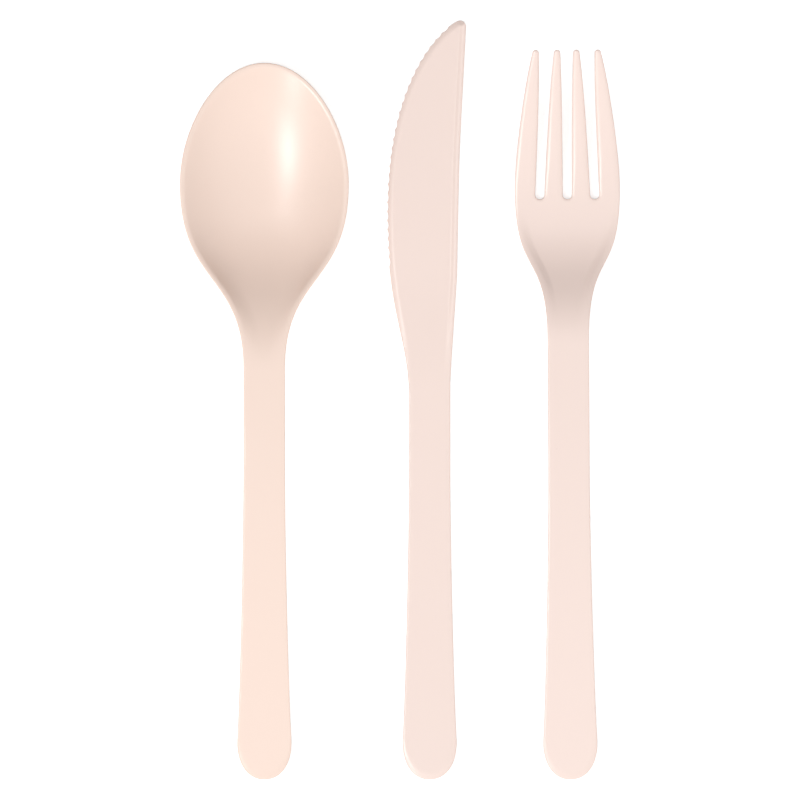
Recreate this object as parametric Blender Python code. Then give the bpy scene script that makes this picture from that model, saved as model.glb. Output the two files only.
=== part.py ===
"""Moulded disposable cutlery: a spoon, a knife and a fork lying side by side.

Each piece is one moulding, made in a two-part mould. Its plan outline is the parting line, one
height function is the face of the upper half of the mould and another is the face of the lower
half. The three pieces share one handle. Units are metres, +Y runs from the handle ends to the
tips and +Z is up, with the table at Z = 0 and the origin under the middle of the set.
"""

from collections import namedtuple
from math import ceil, cos, pi, radians, sin

import bmesh
import bpy
import numpy as np
from mathutils import Vector
from mathutils.geometry import delaunay_2d_cdt, interpolate_bezier

# The set on the table: centre lines of the handles, and the fork's slight turn
SPOON_TO_KNIFE = 0.0367
KNIFE_TO_FORK = 0.0313
FORK_TURN = radians(0.32)

# Handle, the same on all three pieces, measured from its end
HANDLE_WIDTH = 0.0120
HANDLE_ROUND = 0.0091
HANDLE_FLARE = radians(3.4)
WAIST_WIDTH = 0.0092
WAIST_FROM_END = 0.0697
HANDLE_THICKNESS = 0.0023
EDGE_ROUND = 0.0003
EDGE_DROP = 0.0002
END_CROWN = 0.0018
END_CROWN_DROP = 0.0005
END_CROWN_LENGTH = 0.0110

# Flat band of the rim round the spoon's bowl and the fork's shoulders
RIM_BAND = 0.0009

# Spoon
SPOON_LENGTH = 0.1592
BOWL_WIDTH = 0.0375
BOWL_FRONT = 0.0269
BOWL_BACK = 0.0411
BOWL_WALL = 0.0011
SPOON_TIP_HEIGHT = 0.0066
SPOON_RIM_HEIGHT = 0.0070
SPOON_RIM_FALL = radians(0.7)
SPOON_NECK_HEIGHT = 0.0100
SPOON_END_RISE = radians(9.5)
SPOON_RAMP = 0.0034
DEEPEST_FROM_TIP = 0.0330
TIP_POWER = 2.4
NECK_POWER = 2.0

# Fork
FORK_LENGTH = 0.1621
FORK_WIDTH = 0.0234
FORK_FRONT = 0.0306
FORK_BACK = 0.0343
FORK_HEEL_FROM_TIP = 0.0386
FORK_RIM_FROM_TIP = 0.0362
FORK_RAMP = 0.0018
FORK_WALL = 0.0018
FORK_TIP_THICKNESS = 0.0013
FORK_TIP_HEIGHT = 0.0086
FORK_TIP_RISE = radians(15)
FORK_NECK_HEIGHT = 0.0082
FORK_END_RISE = radians(7.5)
TINE_TIP_WIDTH = 0.0015
INNER_TIP_FROM_CENTRE = 0.00214
OUTER_TIP_FROM_CENTRE = 0.00690
OUTER_TIP_LEAN = radians(15.6)
SLOT_WIDTH = 0.0020
SLOT_PITCH = 0.0061
SLOT_DEPTH = 0.0331
SLOT_SPLAY = radians(2.75)
SLOT_STRAIGHT = 0.7
HEAD_CROWN = 0.0006
HEAD_CROWN_DROP = 0.00025
TINE_CROWN = 0.0012
TINE_CROWN_DROP = 0.00042
TINE_CROWN_FROM_ROOT = 0.0090
TIP_CROWN = 0.0007

# Knife
KNIFE_LENGTH = 0.1687
BELLY_FROM_NOSE = 0.0425
BELLY_REACH = 0.0095
KNIFE_HEEL_FROM_END = 0.0845
NOSE_REACH = 0.0067
SPINE_REACH = 0.0081
NOSE_HEIGHT = 0.0015
SPINE_SLOPE = radians(2.9)
SHOULDER_FROM_NOSE = 0.0567
SHOULDER_REACH = 0.0061
SHOULDER_SLOPE = radians(1.1)
SPINE_NECK_FROM_END = 0.0873
BLADE_THICKNESS = 0.0015
EDGE_THICKNESS = 0.0005
EDGE_BEVEL = 0.0011
SPINE_RIB = 0.0008
RIB_FOOT = 0.0014
TOOTH_PITCH = 0.0020
TOOTH_DEPTH = 0.00028
TOOTH_BACKING = 0.00008
TEETH_FROM_NOSE = 0.0029
TEETH_LENGTH = 0.0568

# How far the curves hold their headings at the two ends of each chord, as shares of its length
EVEN_HOLD = (1 / 3, 1 / 3)
HANDLE_HOLDS = (0.34, 0.51, 0.16, 0.29, *EVEN_HOLD)
BOWL_HOLDS = (0.49, 0.52, 0.39, 0.32)
FORK_HOLDS = (0.60, 0.59, 0.26, 0.18)
SPINE_HOLDS = (0.13, 0.07, 0.60, 0.60, 0.39, 0.39)
EDGE_HOLDS = (0.03, 0.74, 0.56, 0.33)
SPOON_SWEEP_HOLD = (0.47, 0.47)
FORK_SWEEP_HOLD = (0.48, 0.48)

# Plastic, coloured through
SPOON_COLOUR = (0.90, 0.71, 0.61)
PALE_COLOUR = (0.91, 0.74, 0.66)
SATIN = 0.35

# Fineness of the facets
FACET_TURN = radians(12)
FACET_STEP = 0.0046
LATTICE_STEP = 0.0026
LOOP_REACH = 0.0006
SLOPE_STEP = 0.00005
ROUND_TURN = radians(26)
ROUND_SHARES = [1 - cos(a) for a in (pi / 6, pi / 3, pi / 2)]
TOOTH_FACETS = 4
CURVE_SAMPLES = 193
FINE = 40
SHARP_ANGLE = radians(35)
MM = 1000
MERGE_MM = 1e-6
GROUP_NAME = "cutlery_set"

Knot = namedtuple("Knot", "x y heading")


def run_through(knots, holds, turn=FACET_TURN, step=FACET_STEP):
    """Points along the Bezier curve through the knots, closer together where it bends."""
    points = [Vector((knots[0].x, knots[0].y))]
    for a, b, ahead, back in zip(knots, knots[1:], holds[::2], holds[1::2]):
        start, stop = Vector((a.x, a.y)), Vector((b.x, b.y))
        chord = (stop - start).length
        first = start + Vector((cos(a.heading), sin(a.heading))) * chord * ahead
        second = stop - Vector((cos(b.heading), sin(b.heading))) * chord * back
        fine = [p.to_2d() for p in interpolate_bezier(start, first, second, stop, CURVE_SAMPLES)]
        points += thinned(fine, turn, step)
    return points


def thinned(fine, turn, step):
    """Every point of a stretch after its first at which the curve has turned or run far enough."""
    ways = [b - a for a, b in zip(fine, fine[1:])]
    run = np.cumsum([way.length for way in ways])
    bends = [abs(a.angle_signed(b, 0.0)) for a, b in zip(ways, ways[1:])] + [0.0]
    measure = np.cumsum(bends) / turn + run / step
    pieces = max(1, ceil(measure[-1]))
    picks = np.searchsorted(measure, measure[-1] * np.arange(1, pieces) / pieces)
    return [fine[i + 1] for i in np.unique(picks) if i + 2 < len(fine)] + [fine[-1]]


def height_along(knots, holds):
    """Height as a function of the distance from the handle's end, through the knots."""
    curve = np.array(run_through(knots, holds, FACET_TURN / FINE, FACET_STEP / FINE))
    return lambda y: np.interp(y, curve[:, 0], curve[:, 1])


def mirrored(side):
    """The closed outline of which the side, from handle end to tip on the centre line, is half."""
    return side + [Vector((-p.x, p.y)) for p in reversed(side[1:-1])]


def inset(outline, distance):
    """A closed outline moved inwards, by one distance or by one for each point."""
    points = np.array(outline)
    along = np.roll(points, -1, axis=0) - points
    along /= np.linalg.norm(along, axis=1)[:, None]
    inward = np.stack([-along[:, 1], along[:, 0]], axis=1)
    both = inward + np.roll(inward, 1, axis=0)
    # Dividing by the square of the sum's length over two keeps mitred corners at full distance
    normal = 2 * both / np.maximum((both**2).sum(axis=1), 1.0)[:, None]
    return points + normal * np.broadcast_to(distance, len(points))[:, None]


def closed(outline):
    """An outline with its first point again at its end."""
    return np.vstack([outline, outline[:1]])


def distance_to(line, points):
    """Distance from each point to a line of points."""
    line = np.array(line)
    start, way = line[:-1], np.diff(line, axis=0)
    reach = np.full(len(points), np.inf)
    for a, w in zip(start, way):
        share = np.clip(((points - a) @ w) / (w @ w), 0, 1)
        reach = np.minimum(reach, np.linalg.norm(points - a - share[:, None] * w, axis=1))
    return reach


def inside(outline, points):
    """Which points lie inside a closed outline."""
    crossings = np.zeros(len(points), bool)
    for a, b in zip(outline, np.roll(outline, -1, axis=0)):
        spans = (a[1] > points[:, 1]) != (b[1] > points[:, 1])
        rise = (b[1] - a[1]) or 1.0
        crossings ^= spans & (points[:, 0] < a[0] + (b[0] - a[0]) * (points[:, 1] - a[1]) / rise)
    return crossings


def lattice(outline, clearance):
    """Staggered points that fill a closed outline, clear of its edge."""
    low, high = np.min(outline, axis=0), np.max(outline, axis=0)
    rows = []
    for i, y in enumerate(np.arange(low[1], high[1], LATTICE_STEP * sin(pi / 3))):
        x = np.arange(low[0] - i % 2 * LATTICE_STEP / 2, high[0], LATTICE_STEP)
        rows.append(np.stack([x, np.full(len(x), y)], axis=1))
    points = np.vstack(rows)
    points = points[inside(outline, points)]
    return points[distance_to(closed(outline), points) > clearance]


def blend(share, start, stop):
    """A size part of the way from one value to another."""
    return start + (stop - start) * share


def roll_off(depth, width, drop):
    """Drop of an elliptically rounded edge, at a depth in from the outline."""
    share = np.clip(1 - depth / width, 0, 1)
    return drop * (1 - np.sqrt(1 - share**2))


def ease(share):
    """A smooth step from 0 to 1."""
    share = np.clip(share, 0, 1)
    return share * share * (3 - 2 * share)


def moulding(name, outline, loops, top, bottom, colour):
    """One solid between two height functions, with the outline as its parting line."""
    rings = [np.array(outline)] + [np.array(loop) for loop in loops]
    points = np.vstack(rings + [lattice(rings[-1], LATTICE_STEP / 2)])
    edges = []
    first = 0
    for ring in rings:
        edges += [(first + i, first + (i + 1) % len(ring)) for i in range(len(ring))]
        first += len(ring)
    border = list(range(len(outline)))
    # The fill is done in millimetres, far above the tolerance at which it merges points
    flat = [Vector(p) * MM for p in points.tolist()]
    found, _, faces, sources, _, _ = delaunay_2d_cdt(flat, edges, [border], 1, MERGE_MM)
    plan = np.array(found) / MM
    place = {source: i for i, group in enumerate(sources) for source in group}
    border = [place[i] for i in border]
    depth = distance_to(closed(rings[0]), plan)
    depth[border] = 0

    form = bmesh.new()
    upper = [form.verts.new((*p, z)) for p, z in zip(plan, top(*plan.T, depth))]
    lower = [form.verts.new((*p, z)) for p, z in zip(plan, bottom(*plan.T, depth))]
    for face in faces:
        form.faces.new([upper[i] for i in face])
        form.faces.new([lower[i] for i in reversed(face)])
    for a, b in zip(border, border[1:] + border[:1]):
        form.faces.new([lower[a], lower[b], upper[b], upper[a]])
    mesh = bpy.data.meshes.new(name)
    form.to_mesh(mesh)
    form.free()
    mesh.shade_smooth()
    mesh.set_sharp_from_angle(angle=SHARP_ANGLE)
    mesh.materials.append(plastic(name + "_plastic", colour))
    piece = bpy.data.objects.new(name, mesh)
    bpy.data.collections[GROUP_NAME].objects.link(piece)
    return piece


def plastic(name, colour):
    """Satin plastic, coloured through."""
    material = bpy.data.materials.new(name)
    material.use_nodes = True
    shader = material.node_tree.nodes["Principled BSDF"]
    shader.inputs["Base Color"].default_value = (*colour, 1)
    shader.inputs["Roughness"].default_value = SATIN
    shader.inputs["Metallic"].default_value = 0
    return material


def handle_side(neck):
    """Knots up the right side of the handle, from the middle of its end to the neck."""
    return [
        Knot(0, 0, 0),
        Knot(HANDLE_WIDTH / 2, HANDLE_ROUND, pi / 2 + HANDLE_FLARE),
        Knot(WAIST_WIDTH / 2, WAIST_FROM_END, pi / 2),
        Knot(WAIST_WIDTH / 2, neck, pi / 2),
    ]


def handle_edge(y):
    """Width and drop of the handle's rounded edge, which widens into a crown at its end."""
    share = ease(y / END_CROWN_LENGTH)
    return blend(share, END_CROWN, EDGE_ROUND), blend(share, END_CROWN_DROP, EDGE_DROP)


def tray(depth, ramp, rim, floor):
    """A flat floor inside a raised rim, joined by a ramp that follows the outline."""
    return blend(ease((depth - RIM_BAND) / ramp), rim, floor)


def bowl_face(band, rim, floor, end, deepest):
    """Height of the inside of a bowl between the two sides of its band.

    It is a parabola across, flatter in the middle towards the neck. Past its deepest place it rises
    along, up to the tip.
    """
    side = np.array([p for p in band if p[0] > 0])
    side = side[np.argsort(side[:, 1])]
    along, square = side[:, 1], side[:, 0] ** 2
    closing = (square[-2] - square[-1]) / (along[-1] - along[-2])

    def half_square(y):
        return np.interp(y, along, square) - closing * np.maximum(y - along[-1], 0)

    def face(x, y):
        held = np.clip(y, end, along[-2])
        past = np.maximum(held - deepest, 0) / (along[-1] - deepest)
        power = blend(ease((held - end) / (deepest - end)), NECK_POWER, 1)
        hollow = half_square(y) / half_square(held) - (x**2 / half_square(held)) ** power
        return rim(y) - (rim(y) - floor(y)) * (1 - past**TIP_POWER) * hollow

    return face


def upright(face, x, y):
    """How much taller than its thickness a wall stands, for the slope of its face."""
    across = (face(x + SLOPE_STEP, y) - face(x - SLOPE_STEP, y)) / (2 * SLOPE_STEP)
    along = (face(x, y + SLOPE_STEP) - face(x, y - SLOPE_STEP)) / (2 * SLOPE_STEP)
    return np.sqrt(1 + across**2 + along**2)


def edge_loops(outline, width, *further):
    """Inset loops that carry a rounded edge, whose width may differ for each point, and further ones."""
    return [inset(outline, d) for d in [width * share for share in ROUND_SHARES] + list(further)]


def spoon():
    """The spoon: a thin bowl that sweeps up into an arched handle, inside one rim."""
    widest = SPOON_LENGTH - BOWL_FRONT
    neck = widest - BOWL_BACK
    deepest = SPOON_LENGTH - DEEPEST_FROM_TIP
    outline = mirrored(run_through(
        handle_side(neck) + [Knot(BOWL_WIDTH / 2, widest, pi / 2), Knot(0, SPOON_LENGTH, pi)],
        HANDLE_HOLDS + BOWL_HOLDS,
    ))
    holds = EVEN_HOLD + SPOON_SWEEP_HOLD + EVEN_HOLD
    handle = [Knot(0, HANDLE_THICKNESS, SPOON_END_RISE), Knot(neck, SPOON_NECK_HEIGHT, 0)]
    rim = height_along(handle + [
        Knot(deepest, SPOON_RIM_HEIGHT, -SPOON_RIM_FALL),
        Knot(SPOON_LENGTH, SPOON_TIP_HEIGHT, -SPOON_RIM_FALL),
    ], holds)
    floor = height_along(handle + [
        Knot(deepest, BOWL_WALL, 0),
        Knot(SPOON_LENGTH, BOWL_WALL, 0),
    ], holds)
    hollow = bowl_face(inset(outline, RIM_BAND), rim, floor, neck, deepest)

    def in_bowl(y):
        return ease((y - neck) / (BOWL_BACK / 2))

    def top(x, y, depth):
        bowl = np.minimum(hollow(x, y), rim(y))
        grip = tray(depth, SPOON_RAMP, rim(y), floor(y))
        return blend(in_bowl(y), grip, bowl) - roll_off(depth, *handle_edge(y))

    def underside(x, y):
        return blend(in_bowl(y), floor(y), hollow(x, y))

    def bottom(x, y, depth):
        wall = blend(ease((y - neck) / (deepest - neck)), HANDLE_THICKNESS, BOWL_WALL)
        skin = underside(x, y) - wall * upright(underside, x, y)
        return skin + roll_off(depth, EDGE_ROUND, EDGE_DROP)

    width = handle_edge(np.array(outline)[:, 1])[0]
    loops = edge_loops(outline, width, width - EDGE_ROUND + RIM_BAND)
    return moulding("spoon", outline, loops, top, bottom, SPOON_COLOUR)


def bent(start, corner, stop):
    """Points on a curve from start to stop that leaves and arrives in line with the corner."""
    shares = np.linspace(0, 1, CURVE_SAMPLES).tolist()
    fine = [start.lerp(corner, t).lerp(corner.lerp(stop, t), t) for t in shares]
    return [start] + thinned(fine, FACET_TURN, FACET_STEP)


def arc(centre, radius, start, stop):
    """Points on a round end, after its first."""
    pieces = ceil(abs(stop - start) / ROUND_TURN)
    angles = [start + (stop - start) * i / pieces for i in range(1, pieces + 1)]
    return [centre + radius * Vector((cos(a), sin(a))) for a in angles]


def slot(number, left_tip, right_tip):
    """Outline of a slot, from the tine at its right down, round its bottom and up to its left."""
    root = Vector((number * SLOT_PITCH, FORK_LENGTH - SLOT_DEPTH + SLOT_WIDTH / 2))
    lean = number * SLOT_SPLAY
    half = SLOT_WIDTH / 2 * Vector((cos(lean), sin(lean)))
    straight = SLOT_STRAIGHT * (right_tip.y - root.y) * Vector((-sin(lean), cos(lean)))
    down = bent(root + half, root + half + straight, right_tip)[::-1]
    up = bent(root - half, root - half + straight, left_tip)
    return down[1:] + arc(root, SLOT_WIDTH / 2, lean, lean - pi) + up[1:]


def fork_side():
    """Right half of the fork's outline: handle, shoulder, outer tine, slot, inner tine, slot."""
    widest = FORK_LENGTH - FORK_FRONT
    half_tip = Vector((TINE_TIP_WIDTH / 2, 0))
    outer = Vector((OUTER_TIP_FROM_CENTRE, FORK_LENGTH - half_tip.x))
    inner = Vector((INNER_TIP_FROM_CENTRE, FORK_LENGTH - half_tip.x))
    side = run_through(handle_side(widest - FORK_BACK) + [
        Knot(FORK_WIDTH / 2, widest, pi / 2),
        Knot(*(outer + half_tip), pi / 2 + OUTER_TIP_LEAN),
    ], HANDLE_HOLDS + FORK_HOLDS)
    side += arc(outer, half_tip.x, 0, pi)
    side += slot(1, inner + half_tip, outer - half_tip)
    side += arc(inner, half_tip.x, 0, pi)
    between = slot(0, Vector((-inner.x, inner.y)) + half_tip, inner - half_tip)
    return side + [p for p in between if p.x > 0] + [Vector((0, FORK_LENGTH - SLOT_DEPTH))]


def fork():
    """The fork: four tapered tines on a flat head that sweeps up into an arched handle."""
    widest = FORK_LENGTH - FORK_FRONT
    neck = widest - FORK_BACK
    heel = FORK_LENGTH - FORK_HEEL_FROM_TIP
    landing = FORK_LENGTH - FORK_RIM_FROM_TIP
    root = FORK_LENGTH - SLOT_DEPTH
    outline = mirrored(fork_side())
    handle = [Knot(0, HANDLE_THICKNESS, FORK_END_RISE), Knot(neck, FORK_NECK_HEIGHT, 0)]
    floor = height_along(handle + [
        Knot(heel, FORK_WALL, 0),
        Knot(FORK_LENGTH, FORK_TIP_HEIGHT, FORK_TIP_RISE),
    ], EVEN_HOLD + FORK_SWEEP_HOLD + EVEN_HOLD)
    side_rim = height_along(handle + [
        Knot(landing, float(floor(landing)), 0),
    ], EVEN_HOLD + FORK_SWEEP_HOLD)

    def edge(y):
        places = [neck, heel, root, root + TINE_CROWN_FROM_ROOT, FORK_LENGTH]
        widths = [EDGE_ROUND, HEAD_CROWN, HEAD_CROWN, TINE_CROWN, TIP_CROWN]
        drops = [EDGE_DROP, HEAD_CROWN_DROP, HEAD_CROWN_DROP, TINE_CROWN_DROP, TINE_CROWN_DROP]
        width, drop = handle_edge(y)
        head_width, head_drop = np.interp(y, places, widths), np.interp(y, places, drops)
        return np.where(y < neck, width, head_width), np.where(y < neck, drop, head_drop)

    def top(x, y, depth):
        rim = np.where(y < landing, np.maximum(side_rim(y), floor(y)), floor(y))
        return tray(depth, FORK_RAMP, rim, floor(y)) - roll_off(depth, *edge(y))

    def underside(x, y):
        return floor(y)

    def bottom(x, y, depth):
        places = [neck, heel, FORK_LENGTH]
        wall = np.interp(y, places, [HANDLE_THICKNESS, FORK_WALL, FORK_TIP_THICKNESS])
        skin = floor(y) - wall * upright(underside, x, y)
        return skin + roll_off(depth, EDGE_ROUND, EDGE_DROP)

    loops = edge_loops(outline, np.minimum(edge(np.array(outline)[:, 1])[0], LOOP_REACH))
    return moulding("fork", outline, loops, top, bottom, PALE_COLOUR)


def blade_lines():
    """The knife's spine, from handle to nose, and its cutting edge, from nose to handle."""
    spine = run_through([
        Knot(WAIST_WIDTH / 2, SPINE_NECK_FROM_END, pi / 2),
        Knot(SHOULDER_REACH, KNIFE_LENGTH - SHOULDER_FROM_NOSE, pi / 2 - SHOULDER_SLOPE),
        Knot(SPINE_REACH, KNIFE_LENGTH - NOSE_HEIGHT, pi / 2 - SPINE_SLOPE),
        Knot(NOSE_REACH, KNIFE_LENGTH, pi),
    ], SPINE_HOLDS)
    edge = run_through([
        Knot(NOSE_REACH, KNIFE_LENGTH, pi),
        Knot(-BELLY_REACH, KNIFE_LENGTH - BELLY_FROM_NOSE, -pi / 2),
        Knot(-WAIST_WIDTH / 2, KNIFE_HEEL_FROM_END, -pi / 2),
    ], EDGE_HOLDS, FACET_TURN / FINE, FACET_STEP / FINE)
    return spine, np.array(edge)


def along_edge(edge, places, depths):
    """Points at distances along the cutting edge, each set in from it by its depth."""
    ways = np.diff(edge, axis=0)
    lengths = np.linalg.norm(ways, axis=1)
    run = np.append(0, np.cumsum(lengths))
    inward = np.stack([-ways[:, 1], ways[:, 0]], axis=1) / lengths[:, None]
    middle = (run[1:] + run[:-1]) / 2
    points = np.stack([np.interp(places, run, edge[:, i]) for i in (0, 1)], axis=1)
    normals = np.stack([np.interp(places, middle, inward[:, i]) for i in (0, 1)], axis=1)
    return points + normals * np.broadcast_to(depths, len(places))[:, None]


def knife_outlines(spine, edge):
    """The knife's toothed outline, its plain one, and which points of that one back the teeth."""
    length = np.linalg.norm(np.diff(edge, axis=0), axis=1).sum()
    teeth = round(TEETH_LENGTH / TOOTH_PITCH)
    pitch = TEETH_LENGTH / teeth
    last = TEETH_FROM_NOSE + TEETH_LENGTH
    before = np.linspace(0, TEETH_FROM_NOSE, TOOTH_FACETS + 1)[1:]
    after = np.linspace(last, length, ceil((length - last) / FACET_STEP) + 1)[1:]
    share = np.arange(1, teeth * TOOTH_FACETS + 1) / TOOTH_FACETS
    scallops = TOOTH_DEPTH * np.abs(np.sin(pi * share))
    halves = np.arange(1, teeth * 2 + 1) / 2
    up = np.array(run_through(handle_side(SPINE_NECK_FROM_END), HANDLE_HOLDS)[:-1] + spine)
    left = [Knot(-k.x, k.y, -k.heading) for k in handle_side(KNIFE_HEEL_FROM_END)[::-1]]
    down = np.array(run_through(left, HANDLE_HOLDS[::-1])[1:-1])
    nose, heel = along_edge(edge, before, 0), along_edge(edge, after, 0)
    toothed = along_edge(edge, TEETH_FROM_NOSE + share * pitch, scallops)
    plain = along_edge(edge, TEETH_FROM_NOSE + halves * pitch, 0)
    backing = np.hstack([
        np.zeros(len(up)),
        before / TEETH_FROM_NOSE,
        np.ones(len(plain)),
        np.zeros(len(heel) + len(down)),
    ])
    return np.vstack([up, nose, toothed, heel, down]), np.vstack([up, nose, plain, heel, down]), backing


def knife():
    """The knife: a flat handle that thins into a ribbed blade with a bevelled, scalloped edge."""
    spine, edge = blade_lines()
    border, plain, backing = knife_outlines(spine, edge)
    middle = HANDLE_THICKNESS / 2
    shoulder = KNIFE_LENGTH - SHOULDER_FROM_NOSE

    def in_handle(y):
        return ease((shoulder - y) / (shoulder - SPINE_NECK_FROM_END))

    def blade_half(x, y):
        place = np.stack([x, y], axis=1)
        bevel = distance_to(edge, place) / EDGE_BEVEL
        ramp = ease((distance_to(spine, place) - SPINE_RIB) / (RIB_FOOT - SPINE_RIB))
        web = blend(ramp, HANDLE_THICKNESS, BLADE_THICKNESS) / 2
        return np.where(bevel < 1, blend(bevel, EDGE_THICKNESS, BLADE_THICKNESS) / 2, web)

    def half(x, y):
        return blend(in_handle(y), blade_half(x, y), middle)

    def top(x, y, depth):
        width, drop = handle_edge(y)
        return middle + half(x, y) - roll_off(depth, width, np.minimum(drop, half(x, y) / 2))

    def bottom(x, y, depth):
        drop = np.minimum(EDGE_DROP, half(x, y) / 2)
        return middle - half(x, y) + roll_off(depth, EDGE_ROUND, drop)

    width = handle_edge(plain[:, 1])[0]
    spine_side = [width * share for share in ROUND_SHARES]
    spine_side += [width - EDGE_ROUND + SPINE_RIB, width - EDGE_ROUND + RIB_FOOT]
    bevel = np.linspace(TOOTH_DEPTH + TOOTH_BACKING, EDGE_BEVEL, len(spine_side) - 1).tolist() + [RIB_FOOT]
    loops = [inset(plain, blend(backing, a, b)) for a, b in zip(spine_side, bevel)]
    return moulding("knife", border, loops, top, bottom, PALE_COLOUR)


def lay_out(spoon_piece, knife_piece, fork_piece):
    """Lay the pieces side by side, handle ends in line, with the set's middle at the origin."""
    lean = FORK_WIDTH / 2 * cos(FORK_TURN) - (FORK_LENGTH - FORK_FRONT) * sin(FORK_TURN)
    right = SPOON_TO_KNIFE + KNIFE_TO_FORK + lean
    start = (BOWL_WIDTH / 2 - right) / 2
    for piece, x in (
        (spoon_piece, start),
        (knife_piece, start + SPOON_TO_KNIFE),
        (fork_piece, start + SPOON_TO_KNIFE + KNIFE_TO_FORK),
    ):
        piece.location = (x, -KNIFE_LENGTH / 2, 0)
    fork_piece.rotation_euler.z = FORK_TURN


def build():
    """Start from an empty scene, model the pieces and lay them out as a set."""
    for item in list(bpy.data.objects):
        bpy.data.objects.remove(item, do_unlink=True)
    group = bpy.data.collections.new(GROUP_NAME)
    bpy.context.scene.collection.children.link(group)
    lay_out(spoon(), knife(), fork())


build()
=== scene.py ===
"""Looks of a moulded cutlery set: the fine surfaces of a spoon, a knife and a fork, their satin
plastic, a white table top, soft studio light and a camera straight above.

Each piece repeats the design of its CAD solid, with the rounded edges and crowned faces made fine.
Piece coordinates: x from the centre line of the handle, y from its end to the tip, in metres.
"""

from collections import namedtuple
from math import ceil, cos, pi, radians, sin

import bpy
import numpy as np
from mathutils import Matrix, Vector
from mathutils.geometry import delaunay_2d_cdt, interpolate_bezier


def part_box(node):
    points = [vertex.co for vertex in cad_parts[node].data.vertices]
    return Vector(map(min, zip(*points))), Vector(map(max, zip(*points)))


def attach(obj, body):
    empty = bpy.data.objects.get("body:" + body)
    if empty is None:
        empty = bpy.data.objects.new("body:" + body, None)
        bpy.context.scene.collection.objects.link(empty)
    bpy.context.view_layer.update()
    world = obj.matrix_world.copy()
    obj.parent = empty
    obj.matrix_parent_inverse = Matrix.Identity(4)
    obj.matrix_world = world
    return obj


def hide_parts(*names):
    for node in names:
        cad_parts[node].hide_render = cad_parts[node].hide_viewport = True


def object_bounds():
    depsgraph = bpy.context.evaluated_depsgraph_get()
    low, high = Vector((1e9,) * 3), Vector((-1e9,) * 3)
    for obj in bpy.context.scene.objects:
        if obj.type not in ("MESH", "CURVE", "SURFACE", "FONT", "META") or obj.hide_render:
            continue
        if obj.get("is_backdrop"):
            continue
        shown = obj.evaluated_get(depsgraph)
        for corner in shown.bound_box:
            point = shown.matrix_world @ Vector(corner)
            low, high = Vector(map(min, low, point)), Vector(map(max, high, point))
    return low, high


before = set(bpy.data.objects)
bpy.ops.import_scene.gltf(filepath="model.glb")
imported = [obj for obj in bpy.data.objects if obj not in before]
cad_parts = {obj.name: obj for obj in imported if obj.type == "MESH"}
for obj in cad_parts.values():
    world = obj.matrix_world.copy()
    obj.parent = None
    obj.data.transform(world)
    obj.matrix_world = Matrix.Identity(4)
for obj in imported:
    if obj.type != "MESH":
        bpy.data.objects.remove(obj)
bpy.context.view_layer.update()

# The set on the table: centre lines of the handles, and the fork's slight turn
SPOON_TO_KNIFE = 0.0367
KNIFE_TO_FORK = 0.0313
FORK_TURN = radians(0.32)

# Handle, the same on all three pieces, measured from its end
HANDLE_WIDTH = 0.0120
HANDLE_ROUND = 0.0091
HANDLE_FLARE = radians(3.4)
WAIST_WIDTH = 0.0092
WAIST_FROM_END = 0.0697
HANDLE_THICKNESS = 0.0023
EDGE_ROUND = 0.0003
EDGE_DROP = 0.0002
END_CROWN = 0.0018
END_CROWN_DROP = 0.0005
END_CROWN_LENGTH = 0.0110

# Flat band of the rim round the spoon's bowl and the fork's shoulders
RIM_BAND = 0.0009

# Spoon
SPOON_LENGTH = 0.1592
BOWL_WIDTH = 0.0375
BOWL_FRONT = 0.0269
BOWL_BACK = 0.0411
BOWL_WALL = 0.0011
SPOON_TIP_HEIGHT = 0.0066
SPOON_RIM_HEIGHT = 0.0070
SPOON_RIM_FALL = radians(0.7)
SPOON_NECK_HEIGHT = 0.0100
SPOON_END_RISE = radians(9.5)
SPOON_RAMP = 0.0034
DEEPEST_FROM_TIP = 0.0330
TIP_POWER = 2.4
NECK_POWER = 2.0

# Fork
FORK_LENGTH = 0.1621
FORK_WIDTH = 0.0234
FORK_FRONT = 0.0306
FORK_BACK = 0.0343
FORK_HEEL_FROM_TIP = 0.0386
FORK_RIM_FROM_TIP = 0.0362
FORK_RAMP = 0.0018
FORK_WALL = 0.0018
FORK_TIP_THICKNESS = 0.0013
FORK_TIP_HEIGHT = 0.0086
FORK_TIP_RISE = radians(15)
FORK_NECK_HEIGHT = 0.0082
FORK_END_RISE = radians(7.5)
TINE_TIP_WIDTH = 0.0015
INNER_TIP_FROM_CENTRE = 0.00214
OUTER_TIP_FROM_CENTRE = 0.00690
OUTER_TIP_LEAN = radians(15.6)
SLOT_WIDTH = 0.0020
SLOT_PITCH = 0.0061
SLOT_DEPTH = 0.0331
SLOT_SPLAY = radians(2.75)
SLOT_STRAIGHT = 0.7
HEAD_CROWN = 0.0006
HEAD_CROWN_DROP = 0.00025
TINE_CROWN = 0.0012
TINE_CROWN_DROP = 0.00042
TINE_CROWN_FROM_ROOT = 0.0090
TIP_CROWN = 0.0007

# Knife
KNIFE_LENGTH = 0.1687
BELLY_FROM_NOSE = 0.0425
BELLY_REACH = 0.0095
KNIFE_HEEL_FROM_END = 0.0845
NOSE_REACH = 0.0067
SPINE_REACH = 0.0081
NOSE_HEIGHT = 0.0015
SPINE_SLOPE = radians(2.9)
SHOULDER_FROM_NOSE = 0.0567
SHOULDER_REACH = 0.0061
SHOULDER_SLOPE = radians(1.1)
SPINE_NECK_FROM_END = 0.0873
BLADE_THICKNESS = 0.0015
EDGE_THICKNESS = 0.0005
EDGE_BEVEL = 0.0011
SPINE_RIB = 0.0008
RIB_FOOT = 0.0014
TOOTH_PITCH = 0.0020
TOOTH_DEPTH = 0.00028
TEETH_FROM_NOSE = 0.0029
TEETH_LENGTH = 0.0568

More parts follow.
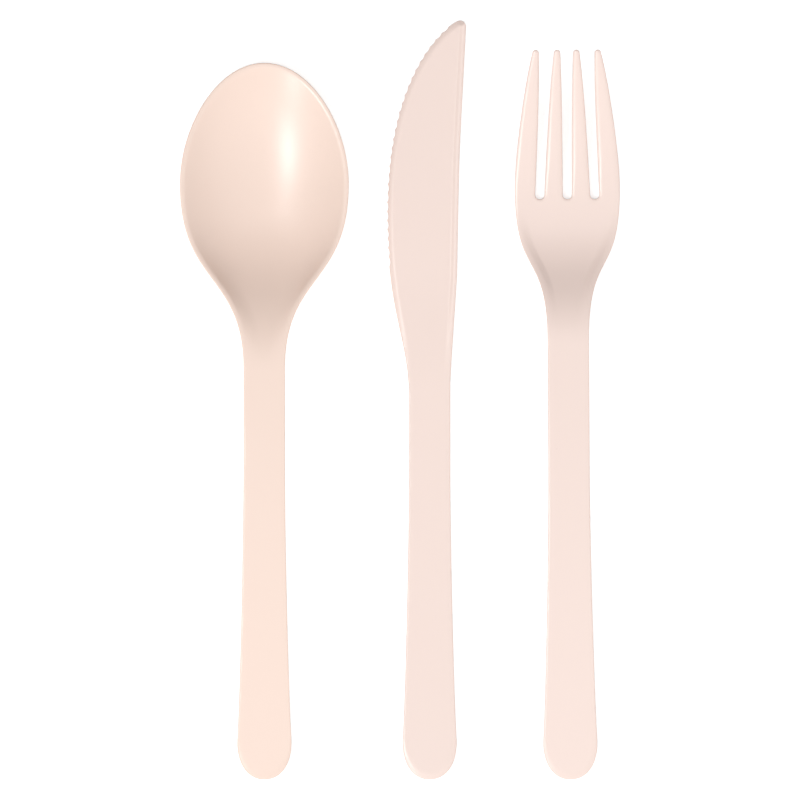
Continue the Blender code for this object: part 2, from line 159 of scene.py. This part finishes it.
# How far the curves hold their headings at the two ends of each chord, as shares of its length
EVEN_HOLD = (1 / 3, 1 / 3)
HANDLE_HOLDS = (0.34, 0.51, 0.16, 0.29, *EVEN_HOLD)
BOWL_HOLDS = (0.49, 0.52, 0.39, 0.32)
FORK_HOLDS = (0.60, 0.59, 0.26, 0.18)
SPINE_HOLDS = (0.13, 0.07, 0.60, 0.60, 0.39, 0.39)
EDGE_HOLDS = (0.03, 0.74, 0.56, 0.33)
SPOON_SWEEP_HOLD = (0.47, 0.47)
FORK_SWEEP_HOLD = (0.48, 0.48)

# Fineness of the facets
CURVE_TURN = radians(2.5)
CURVE_STEP = 0.0008
CURVE_SAMPLES = 769
LATTICE_STEP = 0.00048
FORK_LATTICE_STEP = 0.00034
KNIFE_LATTICE_STEP = 0.0004
SLOPE_STEP = 0.00005
ROUND_TURN = radians(7)
ROUND_ROWS = 7
ROUND_SHARES = [1 - cos(pi / 2 * i / ROUND_ROWS) for i in range(1, ROUND_ROWS + 1)]
EDGE_INSETS = (0.00004, 0.00010, 0.00018, 0.00027)
WALL_ROWS = 3
TOOTH_FACETS = 12
NOSE_FACETS = 11

# Settings of the flat fill
MM = 1000
MERGE_MM = 1e-6
INSIDE_ONLY = 1

# Satin plastic: colours, each with that of its clouds, and the finish
PEACH = (0.89, 0.70, 0.602)
PEACH_CLOUD = (0.885, 0.69, 0.592)
PALE = (0.89, 0.722, 0.654)
PALE_CLOUD = (0.885, 0.712, 0.644)
CLOUD_SCALE = 70.0
REFRACTION = 1.6
SPECULAR = 0.62
SMOOTHEST = 0.26
ROUGHEST = 0.32
FLOW_SCALE = 160.0
FLOW_WAVER = 0.6
FLOW_ALONG = 0.25
SKIN_SCALE = 5200.0
SKIN_STRENGTH = 0.12
SKIN_HEIGHT = 0.00002

# Table: its half width, its gap below the set, its finish, and what is added where it is seen
TABLE_REACH = 3.0
TABLE_GAP = 0.0001
TABLE_WHITE = 0.80
TABLE_ROUGHNESS = 0.9
TABLE_SPECULAR = 0.2
TABLE_GLOW = 0.60

# White walls: their light, and how far back a direction points where it starts to fall and is gone
WALL_LIGHT = 0.86
FALL_START = 0.05
FALL_END = 0.65

# Lens, and the width that the picture shows at the table
SENSOR_MM = 36
LENS_MM = 1000
PICTURE_WIDTH = 0.17778
FAR_CLIP = 20

Knot = namedtuple("Knot", "x y heading")
Softbox = namedtuple("Softbox", "name place width length brightness")

# Lamps, in metres, with their brightness as watts from each square metre into each steradian
SOFTBOXES = (
    Softbox("wide", (0.0, -0.14, 0.82), 1.70, 0.66, 0.55),
    Softbox("low", (-0.54, -0.67, 0.85), 0.20, 0.20, 8.0),
    Softbox("key", (-0.43, -0.21, 1.04), 0.14, 0.30, 18.0),
)


def stretches(knots, holds):
    """Fine points along each stretch of the Bezier curve through the knots."""
    for a, b, ahead, back in zip(knots, knots[1:], holds[::2], holds[1::2]):
        start, stop = Vector((a.x, a.y)), Vector((b.x, b.y))
        chord = (stop - start).length
        first = start + Vector((cos(a.heading), sin(a.heading))) * chord * ahead
        second = stop - Vector((cos(b.heading), sin(b.heading))) * chord * back
        fine = interpolate_bezier(start, first, second, stop, CURVE_SAMPLES)
        yield np.array([p[:2] for p in fine])


def run_through(knots, holds):
    """Points along the Bezier curve through the knots, closer together where it bends."""
    points = [Vector((knots[0].x, knots[0].y))]
    for fine in stretches(knots, holds):
        points += thinned(fine)
    return points


def thinned(fine):
    """Every point of a stretch after its first at which the curve has turned or run far enough."""
    ways = np.diff(fine, axis=0)
    run = np.cumsum(np.linalg.norm(ways, axis=1))
    heading = np.unwrap(np.arctan2(ways[:, 1], ways[:, 0]))
    bends = np.append(np.abs(np.diff(heading)), 0)
    measure = np.cumsum(bends) / CURVE_TURN + run / CURVE_STEP
    pieces = max(1, ceil(measure[-1]))
    picks = np.searchsorted(measure, measure[-1] * np.arange(1, pieces) / pieces)
    inner = [fine[i + 1] for i in np.unique(picks) if i + 2 < len(fine)]
    return [Vector(p) for p in inner + [fine[-1]]]


def height_along(knots, holds):
    """Height as a function of the distance from the handle's end, through the knots."""
    curve = np.vstack(list(stretches(knots, holds)))
    return lambda y: np.interp(y, curve[:, 0], curve[:, 1])


def mirrored(side):
    """The closed outline of which the side, from handle end to tip on the centre line, is half."""
    return side + [Vector((-p.x, p.y)) for p in reversed(side[1:-1])]


def inset(outline, distance):
    """A closed outline moved inwards, by one distance or by one for each point."""
    points = np.array(outline)
    along = np.roll(points, -1, axis=0) - points
    along /= np.linalg.norm(along, axis=1)[:, None]
    inward = np.stack([-along[:, 1], along[:, 0]], axis=1)
    both = inward + np.roll(inward, 1, axis=0)
    normal = 2 * both / np.maximum((both**2).sum(axis=1), 1.0)[:, None]
    return points + normal * np.broadcast_to(distance, len(points))[:, None]


def closed(outline):
    """An outline with its first point again at its end."""
    return np.vstack([outline, outline[:1]])


def distance_to(line, points):
    """Distance from each point to a line of points."""
    line = np.array(line)
    start, way = line[:-1], np.diff(line, axis=0)
    reach = np.full(len(points), np.inf)
    for a, w in zip(start, way):
        off = points - a
        share = np.clip((off @ w) / (w @ w), 0, 1)
        off -= share[:, None] * w
        reach = np.minimum(reach, np.einsum("ij,ij->i", off, off))
    return np.sqrt(reach)


def inside(outline, points):
    """Which points lie inside a closed outline."""
    crossings = np.zeros(len(points), bool)
    for a, b in zip(outline, np.roll(outline, -1, axis=0)):
        spans = (a[1] > points[:, 1]) != (b[1] > points[:, 1])
        rise = (b[1] - a[1]) or 1.0
        crossings ^= spans & (points[:, 0] < a[0] + (b[0] - a[0]) * (points[:, 1] - a[1]) / rise)
    return crossings


def lattice(outline, step):
    """Staggered points that fill a closed outline, clear of its edge."""
    low, high = np.min(outline, axis=0), np.max(outline, axis=0)
    rows = []
    for i, y in enumerate(np.arange(low[1], high[1], step * sin(pi / 3))):
        x = np.arange(low[0] - i % 2 * step / 2, high[0], step)
        rows.append(np.stack([x, np.full(len(x), y)], axis=1))
    points = np.vstack(rows)
    points = points[inside(outline, points)]
    return points[distance_to(closed(outline), points) > step / 2]


def blend(share, start, stop):
    """A size part of the way from one value to another."""
    return start + (stop - start) * share


def roll_off(depth, width, drop):
    """Drop of an elliptically rounded edge, at a depth in from the outline."""
    share = np.clip(1 - depth / width, 0, 1)
    return drop * (1 - np.sqrt(1 - share**2))


def ease(share):
    """A smooth step from 0 to 1."""
    share = np.clip(share, 0, 1)
    return share * share * (3 - 2 * share)


def moulding(name, outline, loops, top, bottom, origin, turn=0.0, step=LATTICE_STEP):
    """One smooth solid between two height functions, with the outline as its parting line."""
    rings = [np.array(outline)] + [np.array(loop) for loop in loops]
    points = np.vstack(rings + [lattice(rings[-1], step)])
    edges = [(i, (i + 1) % len(outline)) for i in range(len(outline))]
    border = list(range(len(outline)))
    # The fill is done in millimetres, far above the tolerance at which it merges points
    flat = [Vector(p) * MM for p in points.tolist()]
    found, _, faces, sources, _, _ = delaunay_2d_cdt(flat, edges, [border], INSIDE_ONLY, MERGE_MM)
    plan = np.array(found) / MM
    place = {source: i for i, group in enumerate(sources) for source in group}
    border = np.array([place[i] for i in border])
    depth = distance_to(closed(rings[0]), plan)
    depth[border] = 0

    count = len(plan)
    upper = np.column_stack([plan, top(*plan.T, depth)])
    lower = np.column_stack([plan, bottom(*plan.T, depth)])
    walls, rows = [], [border]
    for share in np.linspace(0, 1, WALL_ROWS + 1)[1:-1]:
        walls.append(blend(share, upper[border], lower[border]))
        rows.append(2 * count + len(border) * (len(walls) - 1) + np.arange(len(border)))
    rows.append(border + count)
    shell = [list(face) for face in faces]
    shell += [[i + count for i in reversed(face)] for face in faces]
    for above, below in zip(rows, rows[1:]):
        across = np.column_stack([below, np.roll(below, -1), np.roll(above, -1), above])
        shell += across.tolist()
    mesh = bpy.data.meshes.new(name)
    mesh.from_pydata(np.vstack([upper, lower] + walls).tolist(), [], shell)
    mesh.transform(Matrix.Translation((*origin, 0)) @ Matrix.Rotation(turn, 4, "Z"))
    mesh.shade_smooth()
    piece = bpy.data.objects.new(name, mesh)
    bpy.context.scene.collection.objects.link(piece)
    return piece


def handle_side(neck):
    """Knots up the right side of the handle, from the middle of its end to the neck."""
    return [
        Knot(0, 0, 0),
        Knot(HANDLE_WIDTH / 2, HANDLE_ROUND, pi / 2 + HANDLE_FLARE),
        Knot(WAIST_WIDTH / 2, WAIST_FROM_END, pi / 2),
        Knot(WAIST_WIDTH / 2, neck, pi / 2),
    ]


def handle_edge(y):
    """Width and drop of the handle's rounded edge, which widens into a crown at its end."""
    share = ease(y / END_CROWN_LENGTH)
    return blend(share, END_CROWN, EDGE_ROUND), blend(share, END_CROWN_DROP, EDGE_DROP)


def tray(depth, ramp, rim, floor):
    """A flat floor inside a raised rim, joined by a ramp that follows the outline."""
    return blend(ease((depth - RIM_BAND) / ramp), rim, floor)


def bowl_face(band, rim, floor, end, deepest):
    """Height of the inside of a bowl between the two sides of its band.

    It is a parabola across, flatter in the middle towards the neck. Past its deepest place it rises
    along, up to the tip.
    """
    side = np.array([p for p in band if p[0] > 0])
    side = side[np.argsort(side[:, 1])]
    along, square = side[:, 1], side[:, 0] ** 2
    closing = (square[-2] - square[-1]) / (along[-1] - along[-2])

    def half_square(y):
        return np.interp(y, along, square) - closing * np.maximum(y - along[-1], 0)

    def face(x, y):
        held = np.clip(y, end, along[-2])
        past = np.maximum(held - deepest, 0) / (along[-1] - deepest)
        power = blend(ease((held - end) / (deepest - end)), NECK_POWER, 1)
        hollow = half_square(y) / half_square(held) - (x**2 / half_square(held)) ** power
        return rim(y) - (rim(y) - floor(y)) * (1 - past**TIP_POWER) * hollow

    return face


def upright(face, x, y):
    """How much taller than its thickness a wall stands, for the slope of its face."""
    across = (face(x + SLOPE_STEP, y) - face(x - SLOPE_STEP, y)) / (2 * SLOPE_STEP)
    along = (face(x, y + SLOPE_STEP) - face(x, y - SLOPE_STEP)) / (2 * SLOPE_STEP)
    return np.sqrt(1 + across**2 + along**2)


def spoon(origin):
    """The spoon: a thin bowl that sweeps up into an arched handle, inside one rim."""
    widest = SPOON_LENGTH - BOWL_FRONT
    neck = widest - BOWL_BACK
    deepest = SPOON_LENGTH - DEEPEST_FROM_TIP
    outline = mirrored(run_through(
        handle_side(neck) + [Knot(BOWL_WIDTH / 2, widest, pi / 2), Knot(0, SPOON_LENGTH, pi)],
        HANDLE_HOLDS + BOWL_HOLDS,
    ))
    holds = EVEN_HOLD + SPOON_SWEEP_HOLD + EVEN_HOLD
    handle = [Knot(0, HANDLE_THICKNESS, SPOON_END_RISE), Knot(neck, SPOON_NECK_HEIGHT, 0)]
    rim = height_along(handle + [
        Knot(deepest, SPOON_RIM_HEIGHT, -SPOON_RIM_FALL),
        Knot(SPOON_LENGTH, SPOON_TIP_HEIGHT, -SPOON_RIM_FALL),
    ], holds)
    floor = height_along(handle + [
        Knot(deepest, BOWL_WALL, 0),
        Knot(SPOON_LENGTH, BOWL_WALL, 0),
    ], holds)
    hollow = bowl_face(inset(outline, RIM_BAND), rim, floor, neck, deepest)

    def in_bowl(y):
        return ease((y - neck) / (BOWL_BACK / 2))

    def top(x, y, depth):
        bowl = np.minimum(hollow(x, y), rim(y))
        grip = tray(depth, SPOON_RAMP, rim(y), floor(y))
        return blend(in_bowl(y), grip, bowl) - roll_off(depth, *handle_edge(y))

    def underside(x, y):
        return blend(in_bowl(y), floor(y), hollow(x, y))

    def bottom(x, y, depth):
        wall = blend(ease((y - neck) / (deepest - neck)), HANDLE_THICKNESS, BOWL_WALL)
        skin = underside(x, y) - wall * upright(underside, x, y)
        return skin + roll_off(depth, EDGE_ROUND, EDGE_DROP)

    width = handle_edge(np.array(outline)[:, 1])[0]
    loops = [inset(outline, width * share) for share in ROUND_SHARES]
    return moulding("spoon_moulding", outline, loops, top, bottom, origin)


def bent(start, corner, stop):
    """Points on a curve from start to stop that leaves and arrives in line with the corner."""
    shares = [i / (CURVE_SAMPLES - 1) for i in range(CURVE_SAMPLES)]
    fine = [start.lerp(corner, t).lerp(corner.lerp(stop, t), t) for t in shares]
    return [start] + thinned(np.array(fine))


def arc(centre, radius, start, stop):
    """Points on a round end, after its first."""
    pieces = ceil(abs(stop - start) / ROUND_TURN)
    angles = [start + (stop - start) * i / pieces for i in range(1, pieces + 1)]
    return [centre + radius * Vector((cos(a), sin(a))) for a in angles]


def slot(number, left_tip, right_tip):
    """Outline of a slot, from the tine at its right down, round its bottom and up to its left."""
    root = Vector((number * SLOT_PITCH, FORK_LENGTH - SLOT_DEPTH + SLOT_WIDTH / 2))
    lean = number * SLOT_SPLAY
    half = SLOT_WIDTH / 2 * Vector((cos(lean), sin(lean)))
    straight = SLOT_STRAIGHT * (right_tip.y - root.y) * Vector((-sin(lean), cos(lean)))
    down = bent(root + half, root + half + straight, right_tip)[::-1]
    up = bent(root - half, root - half + straight, left_tip)
    return down[1:] + arc(root, SLOT_WIDTH / 2, lean, lean - pi) + up[1:]


def fork_side():
    """Right half of the fork's outline: handle, shoulder, outer tine, slot, inner tine, slot."""
    widest = FORK_LENGTH - FORK_FRONT
    half_tip = Vector((TINE_TIP_WIDTH / 2, 0))
    outer = Vector((OUTER_TIP_FROM_CENTRE, FORK_LENGTH - half_tip.x))
    inner = Vector((INNER_TIP_FROM_CENTRE, FORK_LENGTH - half_tip.x))
    side = run_through(handle_side(widest - FORK_BACK) + [
        Knot(FORK_WIDTH / 2, widest, pi / 2),
        Knot(*(outer + half_tip), pi / 2 + OUTER_TIP_LEAN),
    ], HANDLE_HOLDS + FORK_HOLDS)
    side += arc(outer, half_tip.x, 0, pi)
    side += slot(1, inner + half_tip, outer - half_tip)
    side += arc(inner, half_tip.x, 0, pi)
    between = slot(0, Vector((-inner.x, inner.y)) + half_tip, inner - half_tip)
    return side + [p for p in between if p.x > 0] + [Vector((0, FORK_LENGTH - SLOT_DEPTH))]


def fork(origin):
    """The fork: four tapered tines on a flat head that sweeps up into an arched handle."""
    widest = FORK_LENGTH - FORK_FRONT
    neck = widest - FORK_BACK
    heel = FORK_LENGTH - FORK_HEEL_FROM_TIP
    landing = FORK_LENGTH - FORK_RIM_FROM_TIP
    root = FORK_LENGTH - SLOT_DEPTH
    outline = mirrored(fork_side())
    handle = [Knot(0, HANDLE_THICKNESS, FORK_END_RISE), Knot(neck, FORK_NECK_HEIGHT, 0)]
    floor = height_along(handle + [
        Knot(heel, FORK_WALL, 0),
        Knot(FORK_LENGTH, FORK_TIP_HEIGHT, FORK_TIP_RISE),
    ], EVEN_HOLD + FORK_SWEEP_HOLD + EVEN_HOLD)
    side_rim = height_along(handle + [
        Knot(landing, float(floor(landing)), 0),
    ], EVEN_HOLD + FORK_SWEEP_HOLD)

    def edge(y):
        places = [neck, heel, root, root + TINE_CROWN_FROM_ROOT, FORK_LENGTH]
        widths = [EDGE_ROUND, HEAD_CROWN, HEAD_CROWN, TINE_CROWN, TIP_CROWN]
        drops = [EDGE_DROP, HEAD_CROWN_DROP, HEAD_CROWN_DROP, TINE_CROWN_DROP, TINE_CROWN_DROP]
        width, drop = handle_edge(y)
        head_width, head_drop = np.interp(y, places, widths), np.interp(y, places, drops)
        return np.where(y < neck, width, head_width), np.where(y < neck, drop, head_drop)

    def top(x, y, depth):
        rim = np.where(y < landing, np.maximum(side_rim(y), floor(y)), floor(y))
        return tray(depth, FORK_RAMP, rim, floor(y)) - roll_off(depth, *edge(y))

    def underside(x, y):
        return floor(y)

    def bottom(x, y, depth):
        places = [neck, heel, FORK_LENGTH]
        wall = np.interp(y, places, [HANDLE_THICKNESS, FORK_WALL, FORK_TIP_THICKNESS])
        skin = floor(y) - wall * upright(underside, x, y)
        return skin + roll_off(depth, EDGE_ROUND, EDGE_DROP)

    loops = [inset(outline, distance) for distance in EDGE_INSETS]
    return moulding("fork_moulding", outline, loops, top, bottom, origin, FORK_TURN, FORK_LATTICE_STEP)


def blade_lines():
    """The knife's spine, from handle to nose, and its cutting edge, from nose to handle."""
    spine = run_through([
        Knot(WAIST_WIDTH / 2, SPINE_NECK_FROM_END, pi / 2),
        Knot(SHOULDER_REACH, KNIFE_LENGTH - SHOULDER_FROM_NOSE, pi / 2 - SHOULDER_SLOPE),
        Knot(SPINE_REACH, KNIFE_LENGTH - NOSE_HEIGHT, pi / 2 - SPINE_SLOPE),
        Knot(NOSE_REACH, KNIFE_LENGTH, pi),
    ], SPINE_HOLDS)
    edge = run_through([
        Knot(NOSE_REACH, KNIFE_LENGTH, pi),
        Knot(-BELLY_REACH, KNIFE_LENGTH - BELLY_FROM_NOSE, -pi / 2),
        Knot(-WAIST_WIDTH / 2, KNIFE_HEEL_FROM_END, -pi / 2),
    ], EDGE_HOLDS)
    return spine, np.array(edge)


def along_edge(edge, places, depths):
    """Points at distances along the cutting edge, each set in from it by its depth."""
    ways = np.diff(edge, axis=0)
    lengths = np.linalg.norm(ways, axis=1)
    run = np.append(0, np.cumsum(lengths))
    inward = np.stack([-ways[:, 1], ways[:, 0]], axis=1) / lengths[:, None]
    middle = (run[1:] + run[:-1]) / 2
    points = np.stack([np.interp(places, run, edge[:, i]) for i in (0, 1)], axis=1)
    normals = np.stack([np.interp(places, middle, inward[:, i]) for i in (0, 1)], axis=1)
    return points + normals * np.broadcast_to(depths, len(places))[:, None]


def knife_outline(spine, edge):
    """The knife's toothed outline."""
    length = np.linalg.norm(np.diff(edge, axis=0), axis=1).sum()
    teeth = round(TEETH_LENGTH / TOOTH_PITCH)
    pitch = TEETH_LENGTH / teeth
    last = TEETH_FROM_NOSE + TEETH_LENGTH
    before = np.linspace(0, TEETH_FROM_NOSE, NOSE_FACETS + 1)[1:]
    after = np.linspace(last, length, ceil((length - last) / CURVE_STEP) + 1)[1:]
    share = np.arange(1, teeth * TOOTH_FACETS + 1) / TOOTH_FACETS
    scallops = TOOTH_DEPTH * np.abs(np.sin(pi * share))
    up = np.array(run_through(handle_side(SPINE_NECK_FROM_END), HANDLE_HOLDS)[:-1] + spine)
    left = [Knot(-k.x, k.y, -k.heading) for k in handle_side(KNIFE_HEEL_FROM_END)[::-1]]
    down = np.array(run_through(left, HANDLE_HOLDS[::-1])[1:-1])
    nose, heel = along_edge(edge, before, 0), along_edge(edge, after, 0)
    toothed = along_edge(edge, TEETH_FROM_NOSE + share * pitch, scallops)
    return np.vstack([up, nose, toothed, heel, down])


def knife(origin):
    """The knife: a flat handle that thins into a ribbed blade with a bevelled, scalloped edge."""
    spine, edge = blade_lines()
    outline = knife_outline(spine, edge)
    middle = HANDLE_THICKNESS / 2
    shoulder = KNIFE_LENGTH - SHOULDER_FROM_NOSE

    def in_handle(y):
        return ease((shoulder - y) / (shoulder - SPINE_NECK_FROM_END))

    def blade_half(x, y):
        place = np.stack([x, y], axis=1)
        bevel = distance_to(edge, place) / EDGE_BEVEL
        ramp = ease((distance_to(spine, place) - SPINE_RIB) / (RIB_FOOT - SPINE_RIB))
        web = blend(ramp, HANDLE_THICKNESS, BLADE_THICKNESS) / 2
        return np.where(bevel < 1, blend(bevel, EDGE_THICKNESS, BLADE_THICKNESS) / 2, web)

    def half(x, y):
        return blend(in_handle(y), blade_half(x, y), middle)

    def top(x, y, depth):
        width, drop = handle_edge(y)
        return middle + half(x, y) - roll_off(depth, width, np.minimum(drop, half(x, y) / 2))

    def bottom(x, y, depth):
        drop = np.minimum(EDGE_DROP, half(x, y) / 2)
        return middle - half(x, y) + roll_off(depth, EDGE_ROUND, drop)

    loops = [inset(outline, distance) for distance in EDGE_INSETS]
    return moulding("knife_moulding", outline, loops, top, bottom, origin, step=KNIFE_LATTICE_STEP)


def node_for(tree, kind, label, **values):
    """A shader node with its settings and the values of its unlinked inputs."""
    made = tree.nodes.new(kind)
    made.label = label
    for key, value in values.items():
        if key in made.inputs:
            made.inputs[key].default_value = value
        else:
            setattr(made, key, value)
    return made


def plastic(name, colour, cloud):
    """Satin moulded plastic: faint clouding, flow marks in the sheen and a fine eroded skin."""
    material = bpy.data.materials.new(name)
    material.use_nodes = True
    tree = material.node_tree
    shader = tree.nodes["Principled BSDF"]
    shader.inputs["Metallic"].default_value = 0
    shader.inputs["IOR"].default_value = REFRACTION
    shader.inputs["Specular IOR Level"].default_value = SPECULAR
    place = node_for(tree, "ShaderNodeTexCoord", "place")

    clouds = node_for(tree, "ShaderNodeTexNoise", "clouding", Scale=CLOUD_SCALE, Detail=3.0)
    tree.links.new(place.outputs["Object"], clouds.inputs["Vector"])
    tint = node_for(tree, "ShaderNodeMix", "tint", data_type="RGBA")
    tint.inputs["A"].default_value = (*colour, 1)
    tint.inputs["B"].default_value = (*cloud, 1)
    tree.links.new(clouds.outputs["Fac"], tint.inputs["Factor"])
    tree.links.new(tint.outputs["Result"], shader.inputs["Base Color"])

    flow = node_for(tree, "ShaderNodeTexNoise", "flow marks", Scale=FLOW_SCALE, Detail=4.0)
    flow.inputs["Distortion"].default_value = FLOW_WAVER
    stretch = node_for(tree, "ShaderNodeMapping", "along the piece")
    stretch.inputs["Scale"].default_value = (1.0, FLOW_ALONG, 1.0)
    tree.links.new(place.outputs["Object"], stretch.inputs["Vector"])
    tree.links.new(stretch.outputs["Vector"], flow.inputs["Vector"])
    sheen = node_for(tree, "ShaderNodeMapRange", "sheen")
    sheen.inputs["To Min"].default_value = SMOOTHEST
    sheen.inputs["To Max"].default_value = ROUGHEST
    tree.links.new(flow.outputs["Fac"], sheen.inputs["Value"])
    tree.links.new(sheen.outputs["Result"], shader.inputs["Roughness"])

    skin = node_for(tree, "ShaderNodeTexNoise", "eroded skin", Scale=SKIN_SCALE, Detail=2.0)
    tree.links.new(place.outputs["Object"], skin.inputs["Vector"])
    bump = node_for(tree, "ShaderNodeBump", "skin bump", Strength=SKIN_STRENGTH, Distance=SKIN_HEIGHT)
    tree.links.new(skin.outputs["Fac"], bump.inputs["Height"])
    tree.links.new(bump.outputs["Normal"], shader.inputs["Normal"])
    return material


def table_top():
    """The white table that the set lies on, with its shadows."""
    mesh = bpy.data.meshes.new("table_top")
    corners = [(TABLE_REACH * x, TABLE_REACH * y, 0) for x, y in ((-1, -1), (1, -1), (1, 1), (-1, 1))]
    mesh.from_pydata(corners, [], [(0, 1, 2, 3)])
    top = bpy.data.objects.new("table_top", mesh)
    top.location.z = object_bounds()[0].z - TABLE_GAP
    bpy.context.scene.collection.objects.link(top)
    material = bpy.data.materials.new("white_table")
    material.use_nodes = True
    tree = material.node_tree
    shader = tree.nodes["Principled BSDF"]
    shader.inputs["Base Color"].default_value = (TABLE_WHITE, TABLE_WHITE, TABLE_WHITE, 1)
    shader.inputs["Roughness"].default_value = TABLE_ROUGHNESS
    shader.inputs["Specular IOR Level"].default_value = TABLE_SPECULAR
    glow = node_for(tree, "ShaderNodeEmission", "seen white")
    glow.inputs["Color"].default_value = (1, 1, 1, 1)
    rays = node_for(tree, "ShaderNodeLightPath", "rays")
    seen = node_for(tree, "ShaderNodeMath", "seen or mirrored", operation="MAXIMUM")
    tree.links.new(rays.outputs["Is Camera Ray"], seen.inputs[0])
    tree.links.new(rays.outputs["Is Glossy Ray"], seen.inputs[1])
    lift = node_for(tree, "ShaderNodeMath", "lift", operation="MULTIPLY")
    lift.inputs[1].default_value = TABLE_GLOW
    tree.links.new(seen.outputs["Value"], lift.inputs[0])
    tree.links.new(lift.outputs["Value"], glow.inputs["Strength"])
    both = node_for(tree, "ShaderNodeAddShader", "white with shadows")
    tree.links.new(shader.outputs["BSDF"], both.inputs[0])
    tree.links.new(glow.outputs["Emission"], both.inputs[1])
    tree.links.new(both.outputs["Shader"], tree.nodes["Material Output"].inputs["Surface"])
    mesh.materials.append(material)
    top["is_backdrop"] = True


def softbox(name, place, width, length, brightness):
    """A rectangular lamp, unseen, that faces the set from its place, its width across the set."""
    lamp = bpy.data.lights.new(name, "AREA")
    lamp.shape = "RECTANGLE"
    lamp.size = width
    lamp.size_y = length
    lamp.energy = brightness * pi * width * length
    box = bpy.data.objects.new(name, lamp)
    away = Vector(place).normalized()
    across = Vector((0, 1, 0)).cross(away).normalized()
    turn = Matrix((across, away.cross(across), away)).transposed().to_4x4()
    box.matrix_world = Matrix.Translation(place) @ turn
    box.visible_camera = False
    bpy.context.scene.collection.objects.link(box)


def light():
    """A wide softbox overhead, and two small, bright ones: at the left, and lower in front of it."""
    for box in SOFTBOXES:
        softbox(*box)


def studio():
    """White walls that light the set from all sides but behind, and are seen and mirrored as white."""
    world = bpy.data.worlds.new("studio")
    world.use_nodes = True
    tree = world.node_tree
    backdrop = tree.nodes["Background"]
    backdrop.inputs["Color"].default_value = (1, 1, 1, 1)
    way = node_for(tree, "ShaderNodeTexCoord", "way")
    parts = node_for(tree, "ShaderNodeSeparateXYZ", "parts of the way")
    tree.links.new(way.outputs["Generated"], parts.inputs["Vector"])
    fall = node_for(tree, "ShaderNodeMapRange", "darker behind", interpolation_type="SMOOTHSTEP")
    fall.inputs["From Min"].default_value = FALL_START
    fall.inputs["From Max"].default_value = FALL_END
    fall.inputs["To Min"].default_value = WALL_LIGHT
    fall.inputs["To Max"].default_value = 0.0
    tree.links.new(parts.outputs["Y"], fall.inputs["Value"])
    rays = node_for(tree, "ShaderNodeLightPath", "rays")
    through = node_for(tree, "ShaderNodeMath", "mirrored or through", operation="MAXIMUM")
    tree.links.new(rays.outputs["Is Glossy Ray"], through.inputs[0])
    tree.links.new(rays.outputs["Is Transmission Ray"], through.inputs[1])
    white = node_for(tree, "ShaderNodeMath", "seen as white", operation="MAXIMUM")
    tree.links.new(rays.outputs["Is Camera Ray"], white.inputs[0])
    tree.links.new(through.outputs["Value"], white.inputs[1])
    strength = node_for(tree, "ShaderNodeMix", "strength")
    strength.inputs["B"].default_value = 1.0
    tree.links.new(white.outputs["Value"], strength.inputs["Factor"])
    tree.links.new(fall.outputs["Result"], strength.inputs["A"])
    tree.links.new(strength.outputs["Result"], backdrop.inputs["Strength"])
    bpy.context.scene.world = world


def camera():
    """A long lens straight above the set, +Y up the picture."""
    view = bpy.data.cameras.new("camera")
    view.sensor_width = SENSOR_MM
    view.lens = LENS_MM
    view.clip_end = FAR_CLIP
    eye = bpy.data.objects.new("camera", view)
    eye.location = (0, 0, PICTURE_WIDTH * LENS_MM / SENSOR_MM)
    bpy.context.scene.collection.objects.link(eye)
    bpy.context.scene.camera = eye


def dress(piece, node, material):
    """Give a piece its plastic and let it stand for its CAD solid."""
    piece.data.materials.append(material)
    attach(piece, "root")
    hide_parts(node)


spoon_low, spoon_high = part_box("spoon")
handle_end = spoon_low.y
spoon_x = (spoon_low.x + spoon_high.x) / 2
knife_x = spoon_x + SPOON_TO_KNIFE
fork_x = knife_x + KNIFE_TO_FORK

peach = plastic("peach_satin_plastic", PEACH, PEACH_CLOUD)
pale = plastic("pale_satin_plastic", PALE, PALE_CLOUD)
dress(spoon((spoon_x, handle_end)), "spoon", peach)
dress(knife((knife_x, handle_end)), "knife", pale)
dress(fork((fork_x, handle_end)), "fork", pale)
table_top()
light()
studio()
camera()
bpy.context.scene.view_settings.view_transform = "Standard"
